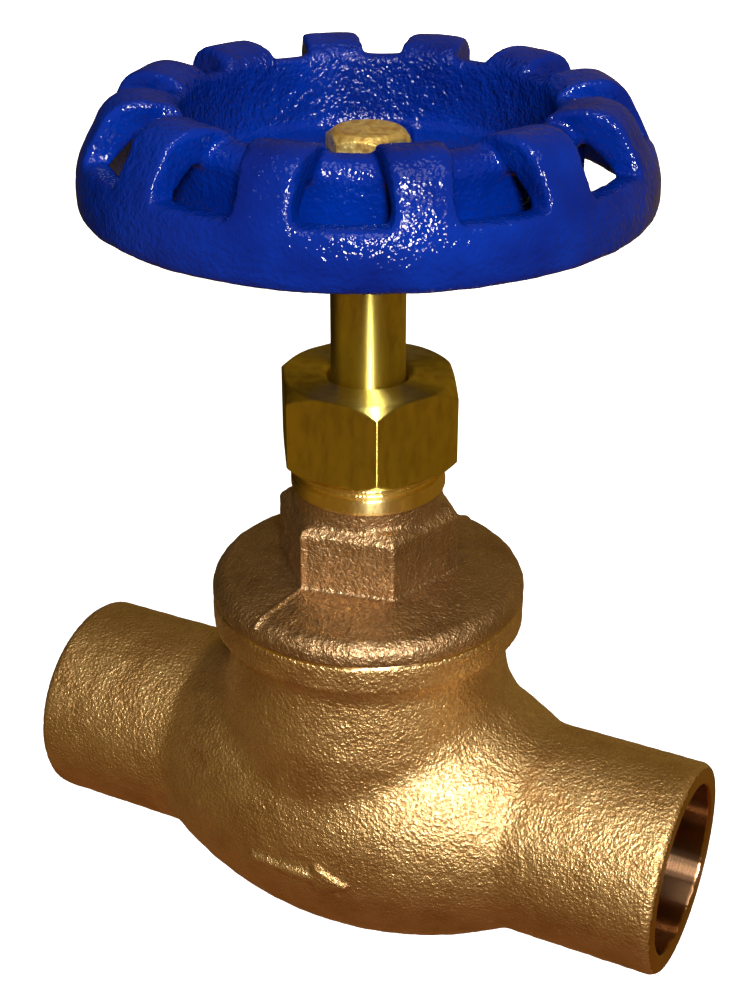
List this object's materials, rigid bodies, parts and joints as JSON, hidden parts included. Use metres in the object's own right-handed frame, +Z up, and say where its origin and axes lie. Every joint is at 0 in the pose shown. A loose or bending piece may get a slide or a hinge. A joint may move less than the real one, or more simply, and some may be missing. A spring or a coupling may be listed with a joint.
{
  "type": "globe valve",
  "caption": "Bronze globe-pattern stop valve with solder sockets, screwed bonnet, hexagon packing nut, rising stem and slotted blue handwheel.",
  "frame": {"origin": "centre of the inlet socket's mouth, on the pipe centre line", "axes": "+X along the pipe run from inlet to outlet, +Z up along the stem, +Y across the run"},
  "size_m": [0.065, 0.048, 0.0833],
  "materials": {
    "cast_body_bronze": "sand-cast, golden, grainy",
    "cast_bonnet_bronze": "sand-cast, reddish brown, grainy",
    "turned_brass": "machined and polished",
    "wheel_enamel": "glossy cobalt blue enamel over a cast surface",
    "packing_fibre": "graphited compressed fibre",
    "gasket_fibre": "compressed fibre sheet",
    "disc_plastic": "moulded fluoropolymer"
  },
  "bodies": {
    "valve": {"valve_body": "cast_body_bronze", "bonnet": "cast_bonnet_bronze", "bonnet_gasket": "gasket_fibre", "stuffing_box_washer": "turned_brass", "packing_ring_lower": "packing_fibre", "packing_ring_middle": "packing_fibre", "packing_ring_upper": "packing_fibre", "packing_gland": "turned_brass", "packing_nut": "turned_brass"},
    "disc": {"disc_holder": "turned_brass", "disc_holder_nut": "turned_brass", "seat_disc": "disc_plastic", "disc_washer": "turned_brass", "disc_nut": "turned_brass"},
    "wheel": {"stem": "turned_brass", "handwheel": "wheel_enamel", "wheel_screw": "turned_brass"}
  },
  "joints": [
    {"name": "stem_lift", "type": "slide", "parent": "valve", "child": "disc", "axis": [0, 0, 1], "range_m": [-0.00495, 0]},
    {"name": "handwheel_turn", "type": "hinge", "parent": "disc", "child": "wheel", "pos_m": [0.0325, 0, 0.0643], "axis": [0, 0, 1], "range_deg": [-990, 0]}
  ],
  "couplings": [
    {"joint": "handwheel_turn", "follows": "stem_lift", "rad_per_m": 3490.7}
  ]
}
